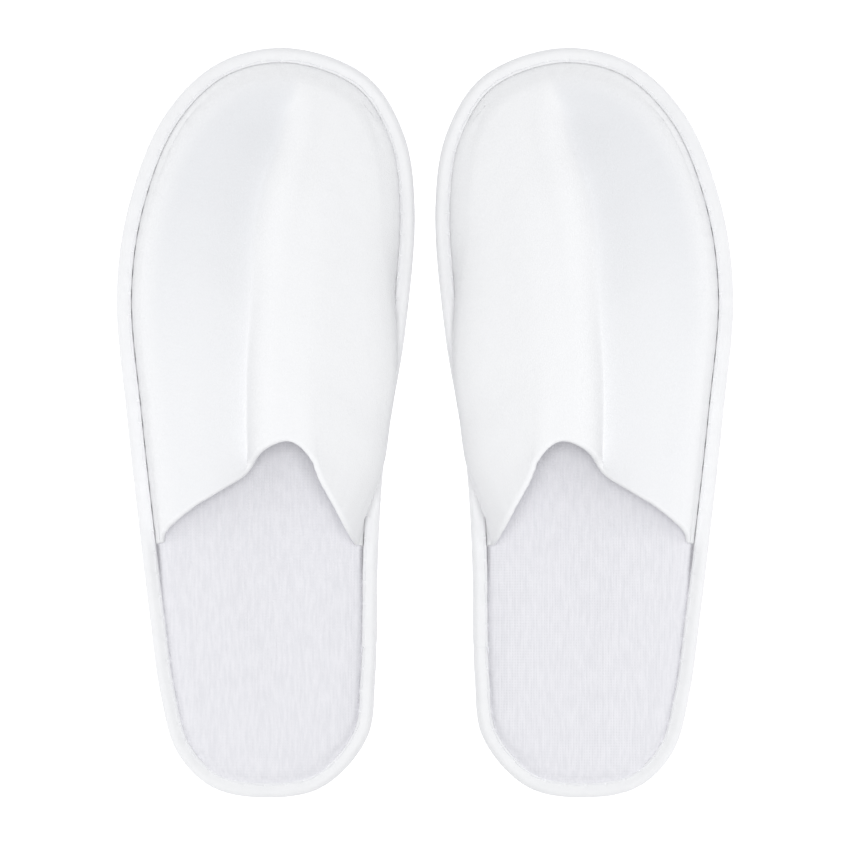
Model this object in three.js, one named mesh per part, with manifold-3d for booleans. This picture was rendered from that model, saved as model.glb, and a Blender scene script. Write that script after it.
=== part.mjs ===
// A pair of closed-toe spa slippers, sewn from flat layers of cloth, sponge and EVA foam.
//
// Millimetres. +X to the right, +Y to the toes, +Z up. The origin is on the floor, at the
// centre of the pair. Each slipper is drawn once, with its inner (medial) side towards +x,
// and the right-hand slipper is the mirror image of the left-hand one.
//
// Most places are given by a fraction of the way round the sole's outline (0 at the toe,
// then along the medial side, the heel and the lateral side), an inset from the outline,
// and a height above the floor.

import * as THREE from "three";
import { mergeVertices } from "three/addons/utils/BufferGeometryUtils.js";
import Module from "manifold-3d";

const wasm = await Module();
wasm.setup();

// ---------------------------------------------------------------- driving dimensions

const SLIPPER_CENTRE = 61.9; // from the pair's middle to the middle of each slipper

// The sole's outline, seen from above, in the slipper's own frame.
const OUTLINE = [
  [10, 145], [39.5, 134], [53.5, 112], [57.8, 84], [54, 34], [46.3, -12], [43.7, -50],
  [42.6, -98], [39.3, -122], [22, -141], [0, -145], [-20.5, -141], [-34, -127.5],
  [-40.5, -105], [-44.5, -76], [-48.2, -45], [-53.4, 2], [-57.4, 50], [-52.3, 86],
  [-38.5, 119.5], [-17.5, 139.5],
];

// Where the toe's arc ends and where the mouth's corners are, as fractions of the outline.
const MEDIAL_TOE = 0.06;
const MEDIAL_MOUTH = 0.315;
const LATERAL_MOUTH = 0.672;
const LATERAL_TOE = 0.925;

const GAP = 0.3; // clearance between layers that touch
const CLOTH = 0.6; // thickness of the upper's lining and face

// Heights of the sole's layers at the squeezed rim, under the binding.
const SOLE_BOTTOM = 1.9; // the rim is cut back underneath, so that the binding doesn't rub
const SOLE_TOP = 4.5;
const FOAM_RIM = 5.6;
const COVER = 0.8; // thickness of the insole cover
const COVER_RIM = FOAM_RIM + GAP;
const PAD_RISE = 2.4; // how far the pad swells above the rim

const LAYER_INSET = 1.1; // the layers stop here, inside the folded tape
const PAD_EDGE = 8; // the pad starts to swell at this inset
const PAD_SLOPE = 9; // and is at full height this much further in
const TREAD_EDGE = 8.2; // the sole stands on the floor inside this inset

// The tape folded round the rim.
const TAPE = 0.7;
const TAPE_WIDTH = 5.6;
const TAPE_BOTTOM = 1.0;
const TAPE_TOP_HEEL = COVER_RIM + COVER + GAP;
const TAPE_TOP_UPPER = TAPE_TOP_HEEL + 2 * CLOTH + 2 * GAP + 0.1;
const TAPE_RAMP = 0.035; // fraction of the outline over which the tape steps down to the heel

// The lockstitch along the tape's inner edge, and the seam inside the mouth's edge.
const THREAD = 0.5;
const THREAD_INSET = 4.7;
const RUN_START = 0.373; // the tape and both threads start and end at the medial side of the heel
const RUN_GAP = 0.0012; // between their two ends, as a fraction of the outline

// The upper. It leaves the seam almost upright and then arches over the foot. Its lateral half
// is the lower one, and the fold left by packing runs along the step between the halves.
const FLANGE_INSET = 1.5;
const SEAM_INSET = 7.6;
const WALL_INSET = 9.2;
const SEAM_HEIGHT = TAPE_TOP_HEEL;
const WALL_HEIGHT = 11; // beside the foot
const TOE_WALL_HEIGHT = 9;
const LATERAL_RISE = 13.5; // of the mouth's edge, above the top of the wall
const MEDIAL_RISE = 25;
const UPPER_FOAM = 1.5; // thickness of the sponge between lining and face
const FACE = 0.8; // thickness of the velour
const MEDIAL_BULGE = 11; // how far the medial wall swells out over the tape
const CREASE_DEPTH = 2.2; // the packing fold at its deepest, behind the toes
const CREASE_FROM = 0.6; // how far across it starts at the toe
const CREASE_TO = 0.405; // and ends at the mouth

// Both halves' arches across the foot: [place, share of the rise], with the fold at FOLD.
const FOLD = 0.4;
const LATERAL_ARCH = [
  [0, 0], [0.03, 0.32], [0.07, 0.56], [0.13, 0.8], [0.2, 0.96], [0.27, 1], [FOLD, 0.97],
  [0.45, 0.7], [0.5, 0.4], [0.55, 0.12], [0.6, 0], [1, 0],
];
const MEDIAL_ARCH = [
  [0, 0], [FOLD, 0], [0.45, 0.44], [0.5, 0.72], [0.55, 0.88], [0.6, 0.96], [0.68, 1], [0.8, 0.96],
  [0.88, 0.84], [0.94, 0.63], [0.98, 0.33], [1, 0],
];

// The mouth's edge seen from above, between its two corners, in the slipper's own frame.
const MOUTH = [
  [-37.5, -42], [-29, -33.6], [-11.8, -22.4], [-5.6, -18.6], [1.2, -9.8], [9, -6.8], [14.4, -8.8],
  [18.2, -13.4], [21.6, -21.8], [28, -33.5],
];
const MOUTH_HEM = 3.2; // width of the turned edge, along the sides
const SIDE_LENGTH = 176; // from the toe's arc to the mouth's corner, along the outline

// The outsole's tread: straight grooves across the ball of the foot and the heel.
const GROOVE_DEPTH = 1.1;
const GROOVE_WIDTH = 2.4;
const GROOVE_PITCH = 9;
const BALL_TREAD = { middle: 78, count: 9, length: 66 };
const HEEL_TREAD = { middle: -96, count: 7, length: 48 };

// How finely the shapes are divided.
const HEEL_STEPS = 26;
const ROWS = 12;
const COLUMNS = 14;

// ---------------------------------------------------------------- the outline

const outline = new THREE.CatmullRomCurve3(
  OUTLINE.map(([x, y]) => new THREE.Vector3(x, y, 0)), true, "centripetal",
);
outline.arcLengthDivisions = 1200;

const mix = THREE.MathUtils.lerp;
const smooth = THREE.MathUtils.smoothstep;
const wrapped = (fraction) => ((fraction % 1) + 1) % 1;

function outwardAt(fraction) {
  const along = outline.getTangentAt(wrapped(fraction));
  return new THREE.Vector3(-along.y, along.x, 0);
}

function placeAt(fraction, inset, height) {
  const place = outline.getPointAt(wrapped(fraction));
  place.addScaledVector(outwardAt(fraction), -inset);
  return place.setZ(height);
}

// Fractions along the sides (0 at the toe's arc, 1 at the mouth) and across (0 lateral,
// 1 medial). The last row is the mouth's turned edge, and the columns crowd to the sides.
const hemStart = 1 - MOUTH_HEM / SIDE_LENGTH;
const rowTimes = [...Array.from({ length: ROWS }, (_, i) => (i / (ROWS - 1)) * hemStart), 1];
const columnTimes = Array.from({ length: COLUMNS + 1 }, (_, j) => {
  const even = j / COLUMNS;
  return mix(even, (1 - Math.cos(Math.PI * even)) / 2, 0.4);
});

const lateralAt = (t) => mix(LATERAL_TOE, LATERAL_MOUTH, t);
const medialAt = (t) => mix(MEDIAL_TOE, MEDIAL_MOUTH, t);
const toeAt = (s) => mix(LATERAL_TOE - 1, MEDIAL_TOE, s);

// One list of stations all the way round, shared by every layer, so that neighbouring
// layers have parallel facets.
function stationsRound() {
  const medial = rowTimes.map(medialAt);
  const heelAt = (step) => mix(MEDIAL_MOUTH, LATERAL_MOUTH, step / HEEL_STEPS);
  const heel = Array.from({ length: HEEL_STEPS - 1 }, (_, k) => heelAt(k + 1));
  const lateral = rowTimes.map(lateralAt).reverse();
  const toe = columnTimes.slice(1, -1).map((s) => toeAt(s) + 1);
  return [...medial, ...heel, ...lateral, ...toe];
}

const stations = stationsRound();

// ---------------------------------------------------------------- mesh helpers

// A closed geometry from points and triangles, turned inside out if its volume is negative.
function closedGeometry(points, triangles) {
  let volume = 0;
  for (const [a, b, c] of triangles) {
    volume += points[a].dot(new THREE.Vector3().crossVectors(points[b], points[c]));
  }
  const faces = volume < 0 ? triangles.map(([a, b, c]) => [a, c, b]) : triangles;
  const geometry = new THREE.BufferGeometry();
  geometry.setAttribute("position", new THREE.Float32BufferAttribute(points.flatMap((p) => p.toArray()), 3));
  geometry.setIndex(faces.flat());
  geometry.computeVertexNormals();
  return geometry;
}

function toManifold(geometry) {
  const bare = geometry.clone();
  bare.deleteAttribute("normal");
  bare.deleteAttribute("uv");
  const merged = mergeVertices(bare);
  return new wasm.Manifold(new wasm.Mesh({
    numProp: 3,
    vertProperties: Float32Array.from(merged.attributes.position.array),
    triVerts: Uint32Array.from(merged.index.array),
  }));
}

function fromManifold(solid) {
  const mesh = solid.getMesh();
  const geometry = new THREE.BufferGeometry();
  geometry.setAttribute("position", new THREE.BufferAttribute(mesh.vertProperties, 3));
  geometry.setIndex(new THREE.BufferAttribute(mesh.triVerts, 1));
  geometry.computeVertexNormals();
  return geometry;
}

// A flat layer: its walls pass through a list of [inset, height] steps, from the middle of
// its underside round to the middle of its top.
function layer(steps) {
  const points = steps.flatMap(([inset, height]) => stations.map((f) => placeAt(f, inset, height)));
  const count = stations.length;
  const bottom = points.push(new THREE.Vector3(0, 0, steps[0][1])) - 1;
  const top = points.push(new THREE.Vector3(0, 0, steps.at(-1)[1])) - 1;
  const last = (steps.length - 1) * count;
  const triangles = [];
  for (let k = 0; k < count; k += 1) {
    const next = (k + 1) % count;
    triangles.push([bottom, k, next], [top, last + next, last + k]);
    for (let ring = 0; ring < last; ring += count) {
      const [a, b] = [ring + k, ring + next];
      triangles.push([a, a + count, b + count], [a, b + count, b]);
    }
  }
  return closedGeometry(points, triangles);
}

// A strip of constant section swept along a list of rings of points, with flat ends.
function sweep(rings) {
  const size = rings[0].length;
  const points = rings.flat();
  const triangles = [];
  for (let ring = 0; ring < rings.length - 1; ring += 1) {
    for (let k = 0; k < size; k += 1) {
      const [a, b] = [ring * size + k, ring * size + ((k + 1) % size)];
      triangles.push([a, b, b + size], [a, b + size, a + size]);
    }
  }
  return { points, triangles, size };
}

// Closes a sweep's two ends with the triangles of its flat section.
function withEnds({ points, triangles, size }, section) {
  const caps = THREE.ShapeUtils.triangulateShape(section.map(([x, y]) => new THREE.Vector2(x, y)), []);
  const last = points.length - size;
  const turned = THREE.ShapeUtils.isClockWise(section.map(([x, y]) => new THREE.Vector2(x, y)));
  for (const [a, b, c] of caps) {
    triangles.push(turned ? [a, b, c] : [a, c, b]);
    triangles.push(turned ? [last + a, last + c, last + b] : [last + a, last + b, last + c]);
  }
  return closedGeometry(points, triangles);
}

// A strip run once round the sole, whose section is a list of [inset, height] for each station.
function runRound(sectionAt) {
  const start = stations.findIndex((f) => f > RUN_START);
  const inner = [...stations.slice(start), ...stations.slice(0, start).map((f) => f + 1)];
  const fractions = [RUN_START + RUN_GAP, ...inner, RUN_START + 1 - RUN_GAP];
  const rings = fractions.map((f) => sectionAt(f).map(([inset, height]) => placeAt(f, inset, height)));
  return withEnds(sweep(rings), sectionAt(RUN_START));
}

// ---------------------------------------------------------------- sole, pad and cover

function grooves({ middle, count, length }) {
  const overlap = 1; // the cutters reach below the sole, for a clean cut
  const box = new THREE.BoxGeometry(length, GROOVE_WIDTH, GROOVE_DEPTH + overlap);
  return Array.from({ length: count }, (_, i) => {
    const y = middle + (i - (count - 1) / 2) * GROOVE_PITCH;
    return toManifold(box.clone().translate(0, y, (GROOVE_DEPTH - overlap) / 2));
  });
}

function outsole() {
  const block = layer([
    [TREAD_EDGE, 0], [TREAD_EDGE, SOLE_BOTTOM], [LAYER_INSET, SOLE_BOTTOM], [LAYER_INSET, SOLE_TOP],
  ]);
  const cuts = [...grooves(BALL_TREAD), ...grooves(HEEL_TREAD)];
  return fromManifold(cuts.reduce((solid, cut) => solid.subtract(cut), toManifold(block)));
}

// The pad's swelling, as [inset, height] steps from the rim inwards, above a given rim.
function pillow(rim) {
  return [[PAD_EDGE, rim], [PAD_EDGE + PAD_SLOPE, rim + PAD_RISE]];
}

function insoleFoam() {
  const bottom = SOLE_TOP + GAP;
  return layer([[LAYER_INSET, bottom], [LAYER_INSET, FOAM_RIM], ...pillow(FOAM_RIM)]);
}

function insoleCover() {
  const underside = [[LAYER_INSET, COVER_RIM], ...pillow(COVER_RIM)].reverse();
  const top = COVER_RIM + COVER;
  return layer([...underside, [LAYER_INSET, top], ...pillow(top)]);
}

// ---------------------------------------------------------------- binding and lockstitch

// The underside of the tape's upper leg: higher where it also covers the upper's layers.
function tapeTopAt(fraction) {
  const f = wrapped(fraction);
  const onHeel = smooth(f, MEDIAL_MOUTH, MEDIAL_MOUTH + TAPE_RAMP)
    * (1 - smooth(f, LATERAL_MOUTH - TAPE_RAMP, LATERAL_MOUTH));
  return mix(TAPE_TOP_UPPER, TAPE_TOP_HEEL, onHeel);
}

function edgeBinding() {
  return runRound((fraction) => {
    const top = tapeTopAt(fraction);
    const inside = TAPE_BOTTOM + TAPE;
    return [
      [TAPE_WIDTH, TAPE_BOTTOM], [0.9, TAPE_BOTTOM], [0, inside + 0.2], [0, top - 0.2], [0.9, top + TAPE],
      [TAPE_WIDTH, top + TAPE], [TAPE_WIDTH, top], [TAPE, top], [TAPE, inside], [TAPE_WIDTH, inside],
    ];
  });
}

function threadSection(inset, low) {
  const [left, right, high] = [inset + THREAD / 2, inset - THREAD / 2, low + THREAD];
  return [[left, low], [right, low], [right, high], [left, high]];
}

function needleThread() {
  return runRound((fraction) => threadSection(THREAD_INSET, tapeTopAt(fraction) + TAPE + GAP));
}

function bobbinThread() {
  return runRound(() => threadSection(THREAD_INSET, TAPE_BOTTOM - GAP - THREAD));
}

// ---------------------------------------------------------------- the upper

const mouthEdge = new THREE.CatmullRomCurve3([
  placeAt(LATERAL_MOUTH, WALL_INSET, 0),
  ...MOUTH.map(([x, y]) => new THREE.Vector3(x, y, 0)),
  placeAt(MEDIAL_MOUTH, WALL_INSET, 0),
], false, "centripetal");

// A Coons patch, seen from above, between the toe's arc, the two sides and the mouth's edge.
function planPoint(s, t) {
  const between = (a, b, k) => a.clone().lerp(b, k);
  const [toe, mouth] = [placeAt(toeAt(s), WALL_INSET, 0), mouthEdge.getPointAt(s)];
  const [lateral, medial] = [placeAt(lateralAt(t), WALL_INSET, 0), placeAt(medialAt(t), WALL_INSET, 0)];
  const toeChord = between(placeAt(toeAt(0), WALL_INSET, 0), placeAt(toeAt(1), WALL_INSET, 0), s);
  const mouthChord = between(mouthEdge.getPointAt(0), mouthEdge.getPointAt(1), s);
  const sum = between(toe, mouth, t).add(between(lateral, medial, s));
  return sum.sub(between(toeChord, mouthChord, t));
}

// A curve through a list of [place, value] points.
function through(points, place) {
  const next = Math.max(1, points.findIndex(([x]) => x >= place));
  const [[from, low], [to, high]] = [points[next - 1], points[next]];
  return mix(low, high, (place - from) / (to - from));
}

// The height of the lining's inner surface. The lateral half rises soon behind the toes and
// the medial half rises steadily up to the mouth.
function heightAt(s, t) {
  const fold = mix(CREASE_FROM, CREASE_TO, t ** 0.45);
  const place = s < fold ? (s / fold) * FOLD : 1 - ((1 - s) / (1 - fold)) * (1 - FOLD);
  const lateral = LATERAL_RISE * Math.sqrt(t) * through(LATERAL_ARCH, place);
  const medial = MEDIAL_RISE * t ** 0.85 * through(MEDIAL_ARCH, place);
  const depth = CREASE_DEPTH * smooth(t, 0.08, 0.2) * (1 - 0.75 * smooth(t, 0.25, 0.6));
  const nearFold = place < FOLD ? (place - 0.22) / (FOLD - 0.22) : 1 - (place - FOLD) / 0.1;
  const wall = mix(TOE_WALL_HEIGHT, WALL_HEIGHT, smooth(t, 0, 0.35));
  return wall + lateral + medial - depth * Math.max(0, nearFold) ** 2;
}

// The inner surface of the lining.
function upperPoint(s, t) {
  const point = planPoint(s, t);
  const alongSide = smooth(t, 0.45, 0.75) * (1 - smooth(t, 0.84, 1));
  const bulge = MEDIAL_BULGE * alongSide * Math.sin(Math.PI * smooth(s, 0.72, 1) ** 1.6);
  point.addScaledVector(outwardAt(medialAt(t)), bulge);
  return point.setZ(heightAt(s, t));
}

// The inner surface as points and quads. Its fullness is 0 where the layers are squeezed in
// the seam and 1 where the sponge is at full thickness.
function upperSurface(lastRow, withSkirt) {
  const width = COLUMNS + 1;
  const rows = rowTimes.slice(0, lastRow + 1);
  const points = rows.flatMap((t) => columnTimes.map((s) => upperPoint(s, t)));
  const onEdge = (i, j) => i === 0 || j % COLUMNS === 0;
  const fullness = rows.flatMap((_, i) => columnTimes.map((__, j) => (onEdge(i, j) ? 0.5 : 1)));
  const quads = [];
  for (let i = 0; i < lastRow; i += 1) {
    for (let j = 0; j < COLUMNS; j += 1) {
      const a = i * width + j;
      quads.push([a, a + width, a + width + 1, a + 1]);
    }
  }
  if (withSkirt) {
    addSkirt(points, fullness, quads, width);
  }
  return { points, fullness, quads, normals: normalsOf(points, quads) };
}

// The wall down to the seam and the flange inside the tape, along both sides and the toe.
function addSkirt(points, fullness, quads, width) {
  const sides = rowTimes.map((_, i) => i);
  const path = [
    ...sides.map((i) => ({ index: i * width, fraction: lateralAt(rowTimes[i]) })).reverse(),
    ...columnTimes.slice(1, -1).map((s, j) => ({ index: j + 1, fraction: toeAt(s) })),
    ...sides.map((i) => ({ index: i * width + COLUMNS, fraction: medialAt(rowTimes[i]) })),
  ];
  let inner = path.map(({ index }) => index);
  for (const inset of [SEAM_INSET, FLANGE_INSET]) {
    const outer = path.map(({ fraction }) => points.push(placeAt(fraction, inset, SEAM_HEIGHT)) - 1);
    outer.forEach(() => fullness.push(0));
    for (let k = 0; k < path.length - 1; k += 1) {
      quads.push([inner[k], inner[k + 1], outer[k + 1], outer[k]]);
    }
    inner = outer;
  }
}

const halves = (quads) => quads.flatMap(([a, b, c, d]) => [[a, b, c], [a, c, d]]);

function normalsOf(points, quads) {
  const geometry = new THREE.BufferGeometry();
  geometry.setAttribute("position", new THREE.Float32BufferAttribute(points.flatMap((p) => p.toArray()), 3));
  geometry.setIndex(halves(quads).flat());
  geometry.computeVertexNormals();
  return points.map((_, i) => new THREE.Vector3().fromBufferAttribute(geometry.attributes.normal, i));
}

// A closed sheet between two offsets from the inner surface.
function sheet(surface, lowOffset, highOffset) {
  const { points, fullness, quads, normals } = surface;
  const moved = (i, offset) => points[i].clone().addScaledVector(normals[i], offset(fullness[i], i));
  const shifted = (offset) => points.map((_, i) => moved(i, offset));
  const count = points.length;
  const triangles = [];
  const edges = new Map();
  for (const quad of quads) {
    quad.forEach((a, k) => edges.set(`${a} ${quad[(k + 1) % 4]}`, [a, quad[(k + 1) % 4]]));
    triangles.push(...halves([quad]));
    triangles.push(...halves([quad.map((k) => k + count)]).map(([a, b, c]) => [a, c, b]));
  }
  for (const [a, b] of edges.values()) {
    if (!edges.has(`${b} ${a}`)) {
      triangles.push([b, a, a + count], [b, a + count, b + count]);
    }
  }
  return closedGeometry([...shifted(highOffset), ...shifted(lowOffset)], triangles);
}

function upperLining() {
  return sheet(upperSurface(ROWS, true), () => 0, () => CLOTH);
}

function upperFoam() {
  const low = CLOTH + GAP;
  return sheet(upperSurface(ROWS - 1, false), () => low, (full) => low + UPPER_FOAM * full - GAP);
}

// The velour. Along the mouth it turns down over the sponge's edge to meet the lining.
function upperFace() {
  const firstOfMouth = ROWS * (COLUMNS + 1);
  const isMouth = (i) => i > firstOfMouth && i < firstOfMouth + COLUMNS;
  const low = CLOTH + GAP;
  const under = (full, i) => (isMouth(i) ? low : low + UPPER_FOAM * full);
  const over = (full) => low + UPPER_FOAM * full + mix(CLOTH, FACE, full);
  return sheet(upperSurface(ROWS, true), under, over);
}

// The seam's thread lies behind the turned edge, between the lining and the velour.
function mouthSeamThread() {
  const surface = upperSurface(ROWS, true);
  const size = THREAD * 0.8;
  const low = CLOTH + GAP + 0.05;
  const behindEdge = 0.3; // how far from the sponge's edge towards the mouth's edge
  const at = (i, j) => i * (COLUMNS + 1) + j;
  const rings = [];
  for (let j = 1; j < COLUMNS; j += 1) {
    const [a, b] = [at(ROWS - 1, j), at(ROWS, j)];
    const middle = surface.points[a].clone().lerp(surface.points[b], behindEdge);
    const up = surface.normals[a].clone().lerp(surface.normals[b], behindEdge).normalize();
    const along = surface.points[b].clone().sub(surface.points[a]).normalize();
    rings.push([[-1, 0], [1, 0], [1, 1], [-1, 1]].map(([side, high]) => middle.clone()
      .addScaledVector(along, (side * size) / 2)
      .addScaledVector(up, low + high * size)));
  }
  return withEnds(sweep(rings), [[-1, 0], [1, 0], [1, 1], [-1, 1]]);
}

// ---------------------------------------------------------------- materials and assembly

const whiteEva = { color: 0xf1f1ee, roughness: 0.7, metalness: 0 };
const sponge = { color: 0xf3efdf, roughness: 1, metalness: 0 };
const ribbedCloth = { color: 0xeeeff1, roughness: 0.9, metalness: 0 };
const velour = { color: 0xf7f8fa, roughness: 1, metalness: 0 };
const liningCloth = { color: 0xeff0f2, roughness: 0.95, metalness: 0 };
const tape = { color: 0xf4f5f8, roughness: 0.9, metalness: 0 };
const thread = { color: 0xf5f5f7, roughness: 0.6, metalness: 0 };

const PIECES = {
  outsole: [outsole, whiteEva],
  insole_foam: [insoleFoam, sponge],
  insole_cover: [insoleCover, ribbedCloth],
  upper_lining: [upperLining, liningCloth],
  upper_foam: [upperFoam, sponge],
  upper_face: [upperFace, velour],
  mouth_seam_thread: [mouthSeamThread, thread],
  edge_binding: [edgeBinding, tape],
  needle_thread: [needleThread, thread],
  bobbin_thread: [bobbinThread, thread],
};

const geometries = Object.fromEntries(Object.entries(PIECES).map(([name, [make]]) => [name, make()]));

function slipper(side, mirror) {
  const group = new THREE.Group();
  for (const [name, [, look]] of Object.entries(PIECES)) {
    const mesh = new THREE.Mesh(geometries[name], new THREE.MeshStandardMaterial(look));
    mesh.name = `${side}_${name}`;
    group.add(mesh);
  }
  group.position.x = -mirror * SLIPPER_CENTRE;
  group.scale.x = mirror;
  return group;
}

const pair = new THREE.Group();
pair.add(slipper("left", 1), slipper("right", -1));

export default pair;
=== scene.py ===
"""The looks of a pair of closed-toe spa slippers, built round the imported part.

Shapes are worked out in millimetres in the slipper's own frame: inner (medial) side towards
+x, toes towards +y, floor at z = 0. They become metres in the shared frame as each mesh is
made, and the right-hand slipper is the mirror image of the left-hand one. Most places are a
fraction of the way round the sole's outline, an inset from it and a height above the floor.
"""

import math
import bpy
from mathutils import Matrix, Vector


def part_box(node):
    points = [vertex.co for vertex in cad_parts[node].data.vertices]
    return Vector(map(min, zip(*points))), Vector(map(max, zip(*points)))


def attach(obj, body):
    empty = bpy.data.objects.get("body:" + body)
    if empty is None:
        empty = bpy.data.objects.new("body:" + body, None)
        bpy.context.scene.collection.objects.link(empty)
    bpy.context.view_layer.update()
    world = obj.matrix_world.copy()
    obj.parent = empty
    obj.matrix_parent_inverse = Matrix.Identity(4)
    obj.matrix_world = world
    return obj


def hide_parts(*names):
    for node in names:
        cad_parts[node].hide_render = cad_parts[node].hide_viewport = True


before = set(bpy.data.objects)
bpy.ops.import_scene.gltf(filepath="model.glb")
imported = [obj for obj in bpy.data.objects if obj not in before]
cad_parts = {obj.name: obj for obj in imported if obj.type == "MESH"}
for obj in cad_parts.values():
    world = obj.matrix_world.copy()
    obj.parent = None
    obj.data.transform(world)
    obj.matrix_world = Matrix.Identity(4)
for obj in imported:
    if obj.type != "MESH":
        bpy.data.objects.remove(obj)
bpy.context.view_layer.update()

from types import SimpleNamespace

import bpy
import numpy as np
from mathutils import Vector
from mathutils.kdtree import KDTree

# ------------------------------------------------------------------ driving dimensions

MM = 0.001

# The sole's outline and the mouth's edge, seen from above, as in the CAD part.
OUTLINE = [
    (10, 145), (39.5, 134), (53.5, 112), (57.8, 84), (54, 34), (46.3, -12), (43.7, -50),
    (42.6, -98), (39.3, -122), (22, -141), (0, -145), (-20.5, -141), (-34, -127.5),
    (-40.5, -105), (-44.5, -76), (-48.2, -45), (-53.4, 2), (-57.4, 50), (-52.3, 86),
    (-38.5, 119.5), (-17.5, 139.5),
]
MOUTH = [
    (-37.5, -42), (-29, -33.6), (-11.8, -22.4), (-5.6, -18.6), (1.2, -9.8), (9, -6.8),
    (14.4, -8.8), (18.2, -13.4), (21.6, -21.8), (28, -33.5),
]

# Where the toe's arc ends and where the mouth's corners are, as fractions of the outline.
MEDIAL_TOE, MEDIAL_MOUTH = 0.06, 0.315
LATERAL_MOUTH, LATERAL_TOE = 0.672, 0.925
SIDE_LENGTH = 176  # along the outline, from the toe's arc to the mouth's corner

# The layers' heights, from the CAD part.
SOLE_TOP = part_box("left_outsole")[1].z / MM
COVER_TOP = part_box("left_insole_cover")[1].z / MM
TAPE_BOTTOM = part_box("left_edge_binding")[0].z / MM
TAPE_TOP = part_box("left_edge_binding")[1].z / MM
SEAM_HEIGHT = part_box("left_upper_lining")[0].z / MM

# The layers' thicknesses, and the gap that is left between two of them.
CLOTH = 0.6  # the lining
FACE = 0.8  # the velour
TAPE = 0.7  # the binding
COVER = 0.8  # the insole cloth
GAP = 0.3
LAYER_INSET = 1.1  # how far inside the outline the pad and the sole end, under the tape

# The upper.
WALL_INSET = 9.2  # where the wall ends and the arched patch begins
WALL_HEIGHT, TOE_WALL_HEIGHT = 11, 8.4
LATERAL_RISE, MEDIAL_RISE = 13.5, 25  # of the two halves' arches above the wall, at the mouth
SPONGE = 1.5  # how much further out the face lies where the sponge is full
SQUEEZED = 0.6  # height of the velour's underside above the lining's, inside the seam
ROWS, COLUMNS = 150, 132  # of the patch's grid: from toe to mouth, and across the foot
HEM = 4.5  # the velour is turned in over this width, measured along the sides
HEM_ROWS = 6  # rows of the grid in the hem
FOAM_END = 3  # the sponge stops this many rows before the mouth
PATCH = ROWS * COLUMNS  # points of the patch
RING = 2 * ROWS + COLUMNS - 2  # points of one ring of the skirt
MOUTH_ROW = np.arange(PATCH - COLUMNS, PATCH)

# The wall's rings from the patch down to the seam, and on under the tape:
# [inset, share of the height, share of the medial bulge, share of the toe's bulge].
SKIRT = [
    (8.5, 0.92, 0.22, 0.9), (7.8, 0.83, 0.14, 0.7), (7.2, 0.67, 0.08, 0.45), (6.75, 0.44, 0.03, 0.25),
    (6.4, 0.2, 0, 0.1), (6.1, 0, 0, 0), (4.5, 0, 0, 0), (1.6, 0, 0, 0),
]
FREE_RINGS = len(SKIRT) - 3  # the seam holds the last three

# How far the medial wall swells out over the tape, and its section: [place across, share].
MEDIAL_BULGE = 11
BULGE = [
    (0, 0), (0.7, 0), (0.78, 0.25), (0.85, 0.6), (0.9, 0.86), (0.94, 1), (0.97, 0.85), (0.985, 0.6),
    (1, 0.3),
]
TOE_BULGE = 1.4  # how much further out the wall stands beside the big toe
SIDE_GROOVE = 0.6  # how much further in the wall stands beside the foot than at the toe
DITCH, DITCH_INSET, DITCH_WIDTH = 0.7, 6.1, 0.9  # the seam pulls the layers down beside the tape
TIP = 0.8  # how far the upper's pointed tips reach past the mouth's corners
LIP = 1.1  # the inner surface ends this far short of the mouth's line, to leave room for the round edge

# The fold left by packing: [fraction from toe to mouth, place across].
CREASE = [(0, 0.6), (0.12, 0.553), (0.23, 0.532), (0.34, 0.492), (0.45, 0.468), (0.6, 0.452), (1, 0.405)]
CREASE_DEPTH = 4.2
LATERAL_VALLEY, MEDIAL_VALLEY = 0.11, 0.035  # the crease's widths to each side, as places across

# The small relief, in mm.
RIDGE, GROOVE_BESIDE_RIDGE = 0.8, 0.2  # height of the ridge beside the fold, depth of the groove beyond
PUCKER = 0.2  # depth of the pull at each needle hole
GATHER, GATHER_PITCH, GATHER_REACH = 0.03, 3.7, 8  # the turned edge's faint waves
UPPER_UNEVEN = [(0.12, 30), (0.03, 9)]  # [height, wavelength]
PAD_UNEVEN = [(0.18, 34), (0.06, 12)]  # [height, wavelength]

# Both halves' arches across the foot: [place across, share of the rise], with the fold at FOLD.
FOLD = 0.4
LATERAL_ARCH = [
    (0, 0), (0.03, 0.32), (0.07, 0.56), (0.13, 0.8), (0.2, 0.96), (0.26, 1), (0.32, 0.97), (0.37, 0.88),
    (FOLD, 0.8), (0.45, 0.55), (0.5, 0.3), (0.55, 0.09), (0.6, 0), (1, 0),
]
MEDIAL_ARCH = [
    (0, 0), (FOLD, 0.02), (0.42, 0.16), (0.45, 0.4), (0.5, 0.7), (0.55, 0.87), (0.6, 0.95), (0.64, 0.985),
    (0.68, 1), (0.73, 0.995), (0.78, 0.97), (0.84, 0.91), (0.89, 0.82), (0.94, 0.64), (0.98, 0.34), (1, 0),
]
MEDIAL_TOE_ARCH = [
    (0, 0), (FOLD - 0.01, 0), (0.45, 0.6), (0.5, 0.84), (0.55, 0.95), (0.6, 0.99), (0.65, 0.98),
    (0.71, 0.93), (0.78, 0.83), (0.86, 0.68), (0.92, 0.51), (0.97, 0.28), (1, 0),
]

# The binding tape and its lockstitch.
TAPE_PUFF = 0.6  # the crest's height above the CAD's flat tape
TAPE_DROP = 1.9  # how much lower the crest is round the heel, where there is no upper under it
CREST_INSET, TAPE_EDGE = 2.2, 5.75  # the tape's crest and its inner edge
SHOULDER_DROP = 2.4  # from the crest down to where the tape's side is upright
RUN_START = 0.373  # where the tape's ends overlap, on the medial side of the heel
OVERLAP = 0.02  # of the outline
STITCHES = 82
STITCH_INSET = 4.9
THREAD_RADIUS, SEAM_THREAD_RADIUS = 0.2, 0.17
THREAD_SIDES = 6

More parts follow.
